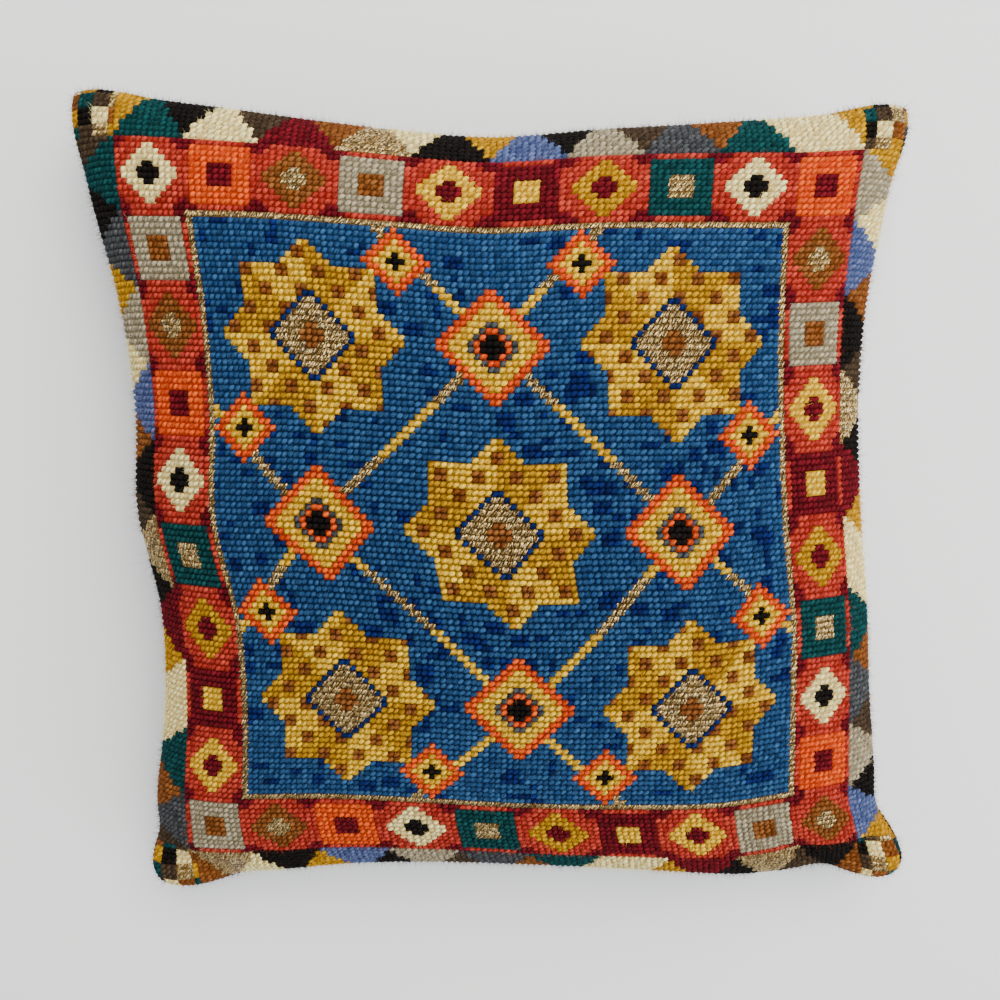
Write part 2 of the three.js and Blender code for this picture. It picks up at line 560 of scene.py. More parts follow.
@dataclass(frozen=True)
class CushionShape:
    """Surface of the filled cushion, the part's solid but for the seam, which is sunk a little."""

    crown: float = 55.0
    edge_thickness: float = 5.0
    edge_fullness: float = 0.12
    seam_sunk: float = 1.2
    seam_sharpness: int = 60
    rest_fullness: float = 0.82
    rest_curve: float = 1.9
    ear_reach: float = 0.2
    valley_bow: float = 0.75
    valley_width: float = 0.36
    lobe_middle: float = 0.45
    lobe_width: float = 0.25
    lobe_share: float = 0.8
    valley_fade: float = 0.2
    pinch_sharpness: int = 12

    def seam_surface(self, u: Array, v: Array) -> Array:
        """Blends the four seams into one patch that meets all of them.

        Args:
            u: Places across.
            v: Places along.

        Returns:
            One point for each place.
        """
        s = (u[..., None] + 1) / 2
        t = (v[..., None] + 1) / 2
        across = NEAR_SIDE.points(u) * (1 - t) + FAR_SIDE.points(u) * t
        along = LEFT_SIDE.points(v) * (1 - s) + RIGHT_SIDE.points(v) * s
        near = NEAR_LEFT.tip * (1 - s) + NEAR_RIGHT.tip * s
        far = FAR_LEFT.tip * (1 - s) + FAR_RIGHT.tip * s
        return across + along - near * (1 - t) - far * t

    def plan_share(self, w: Array, rise: Array) -> Array:
        """Places stitches in plan: closer together next to the seam, where the steep rise takes some up.

        Args:
            w: Share of the stitches, from -1 to 1.
            rise: Share of the crown that the face has there.

        Returns:
            Share of the way across in plan.
        """
        turn = (self.crown * rise / (PANEL / 2)) ** 2
        inset = np.sqrt((1 + 2 * turn) * (1 - np.abs(w)) ** 2 + turn**2) - turn
        return np.sign(w) * (1 - inset)

    def ears(self, u: Array, v: Array) -> tuple[Array, Array, Array]:
        """Works out the four ears: a rounded tip behind a valley that bows towards it, with bulging sides.

        Args:
            u: Places across.
            v: Places along.

        Returns:
            Depth of the valleys, pinch of the seams where they end and rounding of the tips, in millimetres.
        """
        depth, pinch, rounding = (np.zeros_like(u) for _ in range(3))
        tip = np.maximum(0, (np.abs(u) + np.abs(v) - 2) / self.ear_reach + 1)
        for corner in CORNERS:
            away_u = (1 - corner.u * u) / corner.inset[0]
            away_v = (1 - corner.v * v) / corner.inset[1]
            away = (away_u**self.valley_bow + away_v**self.valley_bow) ** (1 / self.valley_bow)
            trough = np.exp(-(((1 - away) / self.valley_width) ** 2))
            depth += corner.depth * trough
            lobe = np.exp(-(((self.lobe_middle - away) / self.lobe_width) ** 2))
            pinch += corner.pinch * (trough - self.lobe_share * lobe)
            rounding += corner.rounding / math.sqrt(2) * tip**2 * (corner.u * u > 0) * (corner.v * v > 0)
        return depth, pinch, rounding

    def faces(self, u: Array, v: Array) -> tuple[Array, Array]:
        """Works out both faces: an elliptic crown above the seam patch and a flattened one below it.

        Args:
            u: Places across.
            v: Places along.

        Returns:
            Points of the stitched face and of the back.
        """
        plan_u = self.plan_share(u, np.sqrt(1 - v * v))
        plan_v = self.plan_share(v, np.sqrt(1 - u * u))
        seam = self.seam_surface(plan_u, plan_v)
        fullness = np.sqrt(np.clip((1 - plan_u**2) * (1 - plan_v**2), 0, 1))
        edge = np.minimum(1, fullness / self.edge_fullness)
        valley, pinch, rounding = self.ears(u, v)
        for axis, w in enumerate((u, v)):
            sunk = self.seam_sunk * (1 - edge) * np.abs(w) ** self.seam_sharpness
            pinched = pinch * np.abs(w) ** self.pinch_sharpness
            seam[..., axis] -= np.sign(w) * (rounding + sunk + pinched)
        valley *= np.minimum(1, fullness / self.valley_fade)
        front = seam.copy()
        front[..., 2] += self.edge_thickness / 2 * edge + self.crown * fullness - valley
        raised = np.maximum(0, 1 - fullness / self.rest_fullness) ** self.rest_curve
        back = seam.copy()
        back[..., 2] = (seam[..., 2] - self.edge_thickness / 2 * edge + valley) * raised
        return front, back


# Cloth of the cover, by the simulation's own names: a firm canvas under a light inner pressure
CLOTH = {
    "quality": 6,
    "tension_stiffness": 15.0,
    "compression_stiffness": 5.0,
    "shear_stiffness": 5.0,
    "bending_stiffness": 0.5,
    "air_damping": 3.0,
    "use_pressure": True,
    "uniform_pressure_force": 4.0,
    "vertex_group_mass": "held",
}


@dataclass
class ClothSettling:
    """Cloth simulation of the sewn cover: the filling presses it out, the panels pull to their cut size."""

    shape: CushionShape
    step: int = 2
    frames: int = 20
    furthest: float = 4.0
    loft: float = 5.0

    def cover(self, u: Array, v: Array) -> tuple[Piece, Array]:
        """Makes the cover as a coarse closed mesh, with the flat panels it was cut from as a second shape.

        Args:
            u: Places across.
            v: Places along.

        Returns:
            The object, and the places of its points in millimetres.
        """
        front, back = self.shape.faces(u, v)
        rim, upper, lower = closed_cover(len(u))
        points = np.concatenate([front.reshape(-1, 3), back[~rim]])
        cut = np.stack([u * PANEL / 2, v * PANEL / 2, np.where(rim, 0.0, self.loft)], -1)
        flat = np.concatenate([cut.reshape(-1, 3), cut[~rim] * [1, 1, -1]])
        mesh = bpy.data.meshes.new("settling_cover")
        mesh.from_pydata((points * MM).tolist(), [], np.concatenate([upper, lower]).tolist())
        cover = bpy.data.objects.new("settling_cover", mesh)
        bpy.context.scene.collection.objects.link(cover)
        cover.shape_key_add(name="sewn")
        cover.shape_key_add(name="cut").data.foreach_set("co", (flat * MM).astype(np.float32).ravel())
        held = np.concatenate([rim.ravel(), np.zeros(len(points) - rim.size, bool)])
        held |= points[:, 2] <= 0
        cover.vertex_groups.new(name="held").add(np.nonzero(held)[0].tolist(), 1.0, "REPLACE")
        return cover, points

    def settle(self, cover: Piece) -> Array:
        """Runs the simulation, with no gravity and with the seam and the resting patch held.

        Args:
            cover: Cover to settle, which is removed afterwards.

        Returns:
            Settled places of its points, in millimetres.
        """
        cloth = cover.modifiers.new("settling", "CLOTH").settings
        for name, value in CLOTH.items():
            setattr(cloth, name, value)
        cloth.effector_weights.gravity = 0.0
        cloth.rest_shape_key = cover.data.shape_keys.key_blocks["cut"]
        scene = bpy.context.scene
        first = scene.frame_current
        for frame in range(1, self.frames + 1):
            scene.frame_set(frame)
        settled = cover.evaluated_get(bpy.context.evaluated_depsgraph_get())
        mesh = cover.data
        places = np.empty(3 * len(mesh.vertices), np.float32)
        settled.data.vertices.foreach_get("co", places)
        bpy.data.objects.remove(cover)
        bpy.data.meshes.remove(mesh)
        scene.frame_set(first)
        return places.reshape(-1, 3) / MM

    def faces(self, u: Array, v: Array) -> tuple[Array, Array]:
        """Works out both faces: the shape's own, moved by what the simulation adds.

        Args:
            u: Places across, an odd number each way.
            v: Places along.

        Returns:
            Points of the stitched face and of the back.
        """
        coarse = (slice(None, None, self.step), slice(None, None, self.step))
        cover, points = self.cover(u[coarse], v[coarse])
        moves = self.settle(cover) - points
        length = np.linalg.norm(moves, axis=-1, keepdims=True)
        moves *= np.minimum(1, self.furthest / np.maximum(length, 1e-9))
        log.info("settling: %.2f mm on average, %.2f mm at most", length.mean(), length.max())
        rim = closed_cover(len(u[coarse]))[0]
        front_moves = moves[: rim.size].reshape(*rim.shape, 3)
        back_moves = front_moves.copy()
        back_moves[~rim] = moves[rim.size :]
        front, back = self.shape.faces(u, v)
        back += doubled(back_moves)
        back[..., 2] = np.maximum(back[..., 2], 0)
        return front + doubled(front_moves), back


# Motifs, as yarns from the outside in, each with its reach from the motif's middle in stitches
Rings = tuple[tuple[float, Yarn], ...]
STAR_HEART: Rings = ((8, Yarn.NAVY), (7, Yarn.GOLD), (3, Yarn.BROWN))
DIAMOND: Rings = ((10, Yarn.ORANGE), (8, Yarn.STRAW), (5, Yarn.GREY), (4, Yarn.ORANGE), (2.5, Yarn.BLACK))
SMALL_DIAMOND: Rings = ((6, Yarn.ORANGE), (4, Yarn.STRAW), (2, Yarn.BLACK))
# Outer and inner yarn of the band's lozenges and squares, in order
BAND_PAIRS = (
    (Yarn.CREAM, Yarn.BLACK),
    (Yarn.ORANGE, Yarn.MAROON),
    (Yarn.BROWN, Yarn.GOLD),
    (Yarn.STONE, Yarn.BROWN),
    (Yarn.STRAW, Yarn.MAROON),
    (Yarn.MAROON, Yarn.STRAW),
    (Yarn.MUSTARD, Yarn.MAROON),
    (Yarn.TEAL, Yarn.GOLD),
)
# Yarns of the border's triangles, of the ground between them and of the corner checks, in order
COOL_GEESE = (Yarn.BLACK, Yarn.PERIWINKLE, Yarn.STONE, Yarn.GREY)
GEESE = (Yarn.TEAL, Yarn.CREAM, Yarn.MAROON, Yarn.GOLD, *COOL_GEESE)
SKIES = (Yarn.MUSTARD, Yarn.BLACK, Yarn.TAUPE, Yarn.BROWN, Yarn.CREAM)
CHECKS = (Yarn.BLACK, Yarn.CREAM, Yarn.BROWN, Yarn.TEAL, Yarn.TAUPE, Yarn.GOLD, Yarn.MUSTARD)


@dataclass
class NeedlepointChart:
    """Yarn of every stitch: stars on a flecked field, inside a band of lozenges and a patchwork border.

    Sizes are numbers of stitches. First turns say where the border's yarns start at its far, near, right and
    left sides.
    """

    border: int = 10
    band: int = 12
    flecks: int = 620
    fleck_length: int = 3
    fleck_height: int = 2
    trellis_width: int = 2
    gold_run: int = 9
    star_spread: int = 29
    star_square: float = 11.0
    star_lozenge: float = 15.5
    spot: int = 2
    spot_repeat: int = 6
    edge_row: float = 41.5
    band_square: tuple[float, float] = (4.6, 2.0)
    band_lozenge: tuple[float, float] = (6.0, 3.0)
    band_corner: float = 9.0
    goose_length: int = 12
    first_turns: tuple[int, int, int, int] = (0, 3, 5, 7)
    check: int = 3
    yarns: Array = field(init=False)

    def __post_init__(self) -> None:
        """Lays out the stitch places and paints the design, the ground first."""
        self.column, self.row = np.meshgrid(np.arange(STITCHES), np.arange(STITCHES))
        middle = (STITCHES - 1) / 2
        self.x = self.column - middle
        self.y = self.row - middle
        self.ring = (middle - np.maximum(np.abs(self.x), np.abs(self.y))).astype(int)
        self.yarns = np.full((STITCHES, STITCHES), Yarn.MID_BLUE.number)
        self.paint_field()
        self.paint_stars()
        self.paint_band()
        self.paint_border()

    def nearness(self, rows: float) -> Array:
        """Returns one for each stitch at the seam, fading away from it over a number of rows."""
        return np.exp(-self.ring / rows)

    def paint(self, where: Array, yarn: Yarn) -> None:
        """Stitches the places in a mask with one yarn."""
        self.yarns[where] = yarn.number

    def paint_rings(self, distance: Array, rings: Rings) -> None:
        """Stitches a motif from the outside in, each yarn within its reach of the motif's middle."""
        for reach, yarn in rings:
            self.paint(distance < reach, yarn)

    def paint_in_turn(self, where: Array, turn: Array, yarns: tuple[Yarn, ...]) -> None:
        """Stitches the places in a mask with yarns that take turns, by a number at each place."""
        for number, yarn in enumerate(yarns):
            self.paint(where & (turn % len(yarns) == number), yarn)

    def lozenge(self, x: float, y: float) -> Array:
        """Returns how far each stitch is from a place, counted along rows and columns."""
        return np.abs(self.x - x) + np.abs(self.y - y)

    def square(self, x: float, y: float) -> Array:
        """Returns how far each stitch is from a place, by its longer way along a row or a column."""
        return np.maximum(np.abs(self.x - x), np.abs(self.y - y))

    def spots(self, shift: int) -> Array:
        """Returns which stitches are in an even repeat of small square spots, shifted both ways."""
        across = (self.column + shift) % self.spot_repeat < self.spot
        return across & ((self.row + shift) % self.spot_repeat < self.spot)

    def paint_field(self) -> None:
        """Scatters dark flecks over the field and lays a trellis on it."""
        random = np.random.default_rng(SEED)
        for _ in range(self.flecks):
            column, row = random.integers(self.border, STITCHES - self.border, 2)
            length = random.integers(1, self.fleck_length + 1)
            height = random.integers(1, self.fleck_height + 1)
            self.yarns[row : row + height, column : column + length] = Yarn.NAVY.number
        for slope in (np.abs(self.x + self.y), np.abs(self.x - self.y)):
            line = (slope >= self.star_spread) & (slope < self.star_spread + self.trellis_width)
            self.paint(line, Yarn.STRAW)
            self.paint(line & (self.row // self.gold_run % 2 == 0), Yarn.GOLD)

    def paint_stars(self) -> None:
        """Sets spotted eight-point stars and stepped diamonds on the field by turns."""
        spots = self.spots(0) | self.spots(self.spot_repeat // 2)
        steps = (-self.star_spread, 0, self.star_spread)
        for x in steps:
            for y in steps:
                if (x == 0) != (y == 0):
                    self.paint_rings(self.lozenge(x, y), DIAMOND)
                    continue
                star = (self.square(x, y) < self.star_square) | (self.lozenge(x, y) < self.star_lozenge)
                tall = np.abs(self.y - y) > np.abs(self.x - x)
                rising = (self.x > x) == (self.y > y)
                self.paint(star, Yarn.STRAW)
                self.paint(star & (tall == rising), Yarn.MUSTARD)
                self.paint(star & spots, Yarn.BROWN)
                self.paint_rings(self.lozenge(x, y), STAR_HEART)
        for along in (-self.star_spread / 2, self.star_spread / 2):
            for across in (-self.edge_row, self.edge_row):
                self.paint_rings(self.lozenge(along, across), SMALL_DIAMOND)
                self.paint_rings(self.lozenge(across, along), SMALL_DIAMOND)

    def paint_band(self) -> None:
        """Frames the field with a red band of lozenges and squares by turns, and a gold line inside it."""
        self.paint((self.ring >= self.border) & (self.ring < self.border + self.band), Yarn.RED)
        units = STITCHES // self.band - 1
        reach = (STITCHES - 2 * self.border - self.band) / 2
        places = np.linspace(-reach, reach, units)
        loop = [(x, reach) for x in places[:-1]] + [(reach, y) for y in places[:0:-1]]
        loop += [(x, -reach) for x in places[:0:-1]] + [(-reach, y) for y in places[:-1]]
        for number, (x, y) in enumerate(loop):
            pair = BAND_PAIRS[number % len(BAND_PAIRS)]
            unit_corner = (self.square(x, y) < self.band / 2) & (self.lozenge(x, y) > self.band_corner)
            self.paint(unit_corner, Yarn.MAROON)
            if number % 2:
                self.paint_rings(self.square(x, y), tuple(zip(self.band_square, pair)))
            else:
                self.paint_rings(self.lozenge(x, y), tuple(zip(self.band_lozenge, pair)))
        self.paint(self.ring == self.border + self.band, Yarn.GOLD)

    def paint_border(self) -> None:
        """Adds triangles of many yarns along all four sides, checked corners and a dark row at the seam."""
        outside = self.ring < self.border
        level = np.abs(self.y) > np.abs(self.x)
        run = np.where(level, self.column, self.row) - self.border
        far, near, right, left = self.first_turns
        first = np.where(level, np.where(self.y > 0, far, near), np.where(self.x > 0, right, left))
        pitch = self.goose_length
        point = (self.border - self.ring) / self.border * pitch / 2
        goose = outside & (np.abs(run % pitch - (pitch - 1) / 2) < pitch / 2 - point + 0.5)
        self.paint_in_turn(outside, (run + pitch // 2) // pitch + first, SKIES)
        self.paint_in_turn(goose, run // pitch + first, GEESE)
        corner = np.minimum(np.abs(self.x), np.abs(self.y)) > STITCHES / 2 - self.border
        self.paint_in_turn(corner, self.column // self.check + self.check * (self.row // self.check), CHECKS)
        self.paint(self.ring == 0, Yarn.UMBER)


@dataclass(frozen=True)
class Strand:
    """Threads side by side over a canvas crossing, each a closed grain whose ends dip into the holes.

    Each ring of a grain has its place along, from -1 to 1, its share of the girth and its share of the lift.
    Reach is the length in canvas threads; turn, swell and wander are how much stitches differ.
    """

    half_width: float
    half_height: float
    lift: float
    dip: float
    sides: int
    rings: tuple[tuple[float, float, float], ...]
    threads: int
    spacing: float
    reach: float
    turn: float
    swell: float
    wander: float

    def points(self) -> Array:
        """Places the end points and the rings of points between them.

        Returns:
            Rows of the share along the strand, the width in millimetres and the height in millimetres.
        """
        turn = math.pi / 2 + np.arange(self.sides) * math.tau / self.sides
        rows = [np.array([[-1.0, 0.0, -self.dip]])]
        for place, girth, rise in self.rings:
            width = girth * self.half_width * np.cos(turn)
            height = rise * self.lift + girth * self.half_height * np.sin(turn)
            rows.append(np.stack([np.full(self.sides, place), width, height], -1))
        rows.append(np.array([[1.0, 0.0, -self.dip]]))
        return np.concatenate(rows)

    def faces(self) -> tuple[Array, Array, Array]:
        """Joins the rings by quads and closes both ends by triangles.

        Returns:
            Corner vertices of all faces, the number of corners of each and the place of each corner on the
            strand: its share along and its share around.
        """
        around = np.arange(self.sides)
        after = (around + 1) % self.sides
        low = around / self.sides
        high = (around + 1) / self.sides
        middle = (low + high) / 2
        places = [ring[0] * 0.5 + 0.5 for ring in self.rings]
        bands = [[(0, 0.0, middle), (1 + after, places[0], high), (1 + around, places[0], low)]]
        for ring, (a, b) in enumerate(zip(places, places[1:])):
            here = 1 + ring * self.sides
            there = here + self.sides
            near = [(here + around, a, low), (here + after, a, high)]
            bands.append(near + [(there + after, b, high), (there + around, b, low)])
        here = 1 + self.sides * (len(self.rings) - 1)
        last = (here + self.sides, 1.0, middle)
        bands.append([last, (here + around, places[-1], low), (here + after, places[-1], high)])
        tables = [[np.stack(np.broadcast_arrays(*corner), -1) for corner in band] for band in bands]
        table = np.concatenate([np.stack(columns, 1).reshape(-1, 3) for columns in tables])
        counts = np.repeat([len(band) for band in bands], self.sides)
        return table[:, 0].astype(int), counts, table[:, 1:]


WOOL_STRAND = Strand(
    half_width=1.21,
    half_height=0.95,
    lift=0.4,
    dip=0.8,
    sides=5,
    rings=((-0.6, 0.84, 0.0), (0.08, 1.0, 1.0), (0.62, 0.84, 0.8)),
    threads=1,
    spacing=0.0,
    reach=1.1,
    turn=0.08,
    swell=0.08,
    wander=0.1,
)
GILT_STRAND = Strand(
    half_width=0.55,
    half_height=0.45,
    lift=0.55,
    dip=0.3,
    sides=4,
    rings=((-0.65, 0.9, 0.6), (0.65, 0.9, 0.6)),
    threads=3,
    spacing=0.8,
    reach=1.12,
    turn=0.22,
    swell=0.12,
    wander=0.22,
)


@dataclass
class StitchedFace:
    """The tent stitches: slanted strands, one over each canvas crossing, in one piece for each yarn.

    Towards the seam the wool is felted, so stitches lie flatter, and their roots get less painted shade.
    """

    holes: Array
    chart: NeedlepointChart
    slant: float = 0.64
    squareness: float = 0.25
    shade_spread: float = 0.25
    root_power: int = 3
    near_seam_rows: float = 18.0
    # Share of the painted root shade taken away at the seam.
    seam_shade_ease: float = 1.0
    felting: float = 0.4
    seam_rows: float = 1.2
    seam_press: float = 0.5
    map_margin: float = 0.08

    def __post_init__(self) -> None:
        """Works out the middle, the two canvas directions and the normal of every crossing."""
        h = self.holes
        self.middle = (h[:-1, :-1] + h[:-1, 1:] + h[1:, :-1] + h[1:, 1:]) / 4
        self.across = (h[:-1, 1:] - h[:-1, :-1] + h[1:, 1:] - h[1:, :-1]) / 2
        self.along = (h[1:, :-1] - h[:-1, :-1] + h[1:, 1:] - h[:-1, 1:]) / 2
        self.normal = unit(np.cross(self.across, self.along))

    def relief(self) -> Array:
        """Returns each stitch's share of its full height: felted near the seam and pressed flat at it."""
        felted = 1 - self.felting * self.chart.nearness(self.near_seam_rows)
        return felted * (1 - self.seam_press * self.chart.nearness(self.seam_rows))

    def yarn_piece(self, yarn: Yarn, random: np.random.Generator) -> Piece:
        """Lays all stitches of one yarn, each a little different in turn, girth and shade.

        Args:
            yarn: Yarn to lay.
            random: Source of the differences.

        Returns:
            The piece.
        """
        gilt = yarn is Yarn.GOLD
        strand = GILT_STRAND if gilt else WOOL_STRAND
        threads = strand.threads
        row, column = (np.repeat(place, threads) for place in np.nonzero(self.chart.yarns == yarn.number))
        number = len(row)
        side = np.tile(np.arange(threads) - (threads - 1) / 2, number // threads) * strand.spacing
        across, along, normal = (a[row, column] for a in (self.across, self.along, self.normal))
        lean = self.slant + random.normal(0, strand.turn, number)
        axis = (across * lean[:, None] + along) * strand.reach / 2
        square = unit(np.cross(axis, normal))
        width = unit(square * self.squareness + unit(across) * (1 - self.squareness))
        girth = 1 + random.normal(0, strand.swell, number)
        height = girth * self.relief()[row, column]
        nudge = random.normal(0, strand.wander, (number, 2))
        middle = self.middle[row, column] + width * (side + nudge[:, 0])[:, None]
        middle += unit(axis) * nudge[:, 1:]
        grain = strand.points()
        points = middle[:, None] + axis[:, None] * grain[None, :, :1]
        points += width[:, None] * (grain[None, :, 1:2] * girth[:, None, None])
        points += normal[:, None] * (grain[None, :, 2:] * height[:, None, None])
        corners, counts, places = strand.faces()
        corners = np.arange(number)[:, None] * len(grain) + corners
        name = f"{yarn.name.lower()}_stitches"
        piece = mesh_object(name, points.reshape(-1, 3), corners.ravel(), np.tile(counts, number))
        # Tone of each strand at random; on gilt thread it also paints sparkle, brighter and darker strand by
        # strand.
        shade = random.random(number) if gilt else random.normal(0.5, self.shade_spread, number)
        set_attribute(piece, "shade", "POINT", np.repeat(np.clip(shade, 0, 1), len(grain)))
        # Painted shade at the roots, stored as rise: low at the strand's ends in the holes, eased towards
        # the seam.
        filled = self.seam_shade_ease * self.chart.nearness(self.near_seam_rows)[row, column]
        rise = 1 - np.abs(grain[:, 0]) ** self.root_power * (1 - filled[:, None])
        set_attribute(piece, "rise", "POINT", rise.ravel())
        cells, cell = map_cells(number)
        set_attribute(piece, "cells", "POINT", np.full(number * len(grain), cells))
        inside = self.map_margin + (1 - 2 * self.map_margin) * places
        set_map(piece, BAKE_MAP, (cell[:, None] + inside[None]) / cells)
        set_map(piece, YARN_MAP, cell[:, None] + places[None])
        finish = MetallicThread() if gilt else TapestryWool(yarn)
        piece.data.materials.append(finish.material())
        return piece

    def build(self) -> list[Piece]:
        """Lays every yarn of the design.

        Returns:
            One piece for each yarn.
        """
        random = np.random.default_rng(SEED)
        return [self.yarn_piece(yarn, random) for yarn in Yarn]


@dataclass
class FilledCushion:
    """The filled cushion itself: the covered canvas, whose gaps between stitches are painted in shade, the
    backing and the seam that joins them.

    The backing has gathers where it is lifted off the surface that the cushion lies on.
    """

    front: Array
    back: Array
    chart: NeedlepointChart
    # Painted shade of the gaps between stitches, as a share of their dark dye, lightened towards the seam.
    ground_shade: float = 0.2
    near_seam_rows: float = 18.0
    seam_shade_lightening: float = 3.0
    lifted: float = 1.0
    pucker: float = 1.2
    pucker_rows: float = 7.0
    pucker_spacing: float = 4.6
    pucker_drift: float = 0.35
    pucker_swing: float = 0.4
    swing_rows: float = 11.0
    map_margin: float = 0.01

    def gathers(self) -> Array:
        """Works out the puckers of the backing: small uneven waves along each seam, which fade away from it.

        Returns:
            How far each place of the back moves inwards, in millimetres.
        """
        random = np.random.default_rng(SEED)
        place = np.arange(STITCHES + 1)
        waves = []
        for _ in range(4):
            drift = np.cumsum(random.normal(0, self.pucker_drift, STITCHES + 1))
            swing = np.sin(place / self.swing_rows + random.uniform(0, math.tau))
            strength = 1 - self.pucker_swing + self.pucker_swing * swing
            waves.append(strength * np.sin(place * math.tau / self.pucker_spacing + drift))
        first, last = (np.exp(-p / self.pucker_rows) * p / (p + 1) for p in (place, STITCHES - place))
        rows = first[:, None] * waves[0] + last[:, None] * waves[1]
        columns = first * waves[2][:, None] + last * waves[3][:, None]
        corner_fade = np.minimum(1, np.minimum(place, STITCHES - place) / self.pucker_rows)
        return self.pucker * (rows * corner_fade + columns * corner_fade[:, None])

    def set_maps(self, piece: Piece, front_faces: Array) -> None:
        """Maps both faces: side by side for baking, and each by its own panel's directions for the weave.

        Args:
            piece: The cushion.
            front_faces: Corner places of the front's faces.
        """
        share = np.linspace(0, 1, STITCHES + 1)
        place = np.stack(np.meshgrid(share, share), -1).reshape(-1, 2)
        front = place[front_faces.ravel()]
        back = place[front_faces[:, [0, 3, 2, 1]].ravel()]
        half = np.array([0.5, 1.0])
        inside = self.map_margin + np.concatenate([front, back]) * (half - 2 * self.map_margin)
        inside[len(front) :, 0] += half[0]
        set_map(piece, BAKE_MAP, inside)
        set_map(piece, PANEL_MAP, np.concatenate([front, back]))

    def build(self) -> Piece:
        """Joins both faces along the seam into one closed mesh.

        Returns:
            The piece that stands for the part's solid.
        """
        seam, front_faces, back_faces = closed_cover(STITCHES + 1)
        inward = unit(np.cross(np.gradient(self.back, axis=1), np.gradient(self.back, axis=0)))
        back = self.back + inward * np.where(self.back[..., 2] > self.lifted, self.gathers(), 0)[..., None]
        points = np.concatenate([self.front.reshape(-1, 3), back[~seam]])
        corners = np.concatenate([front_faces.ravel(), back_faces.ravel()])
        faces = STITCHES * STITCHES
        piece = mesh_object("filled_cushion", points, corners, np.full(2 * faces, 4))
        # Painted shade between the stitches: each gap shows its stitch's dark dye, darkened, and less so
        # towards the seam.
        dyes = np.array([linear(yarn.value[0]) for yarn in Yarn])
        shade = self.ground_shade * (1 + self.seam_shade_lightening * self.chart.nearness(self.near_seam_rows))
        covered = dyes[self.chart.yarns] * shade[..., None]
        set_attribute(piece, "dye", "FACE", np.concatenate([covered.reshape(-1, 4), np.ones((faces, 4))]))
        self.set_maps(piece, front_faces)
        for finish in (CANVAS_IN_PAINTED_SHADE, BackingCloth()):
            piece.data.materials.append(finish.material())
        piece.data.polygons.foreach_set("material_index", np.repeat([0, 1], faces).astype(np.int32))
        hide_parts(NODE)
        return piece


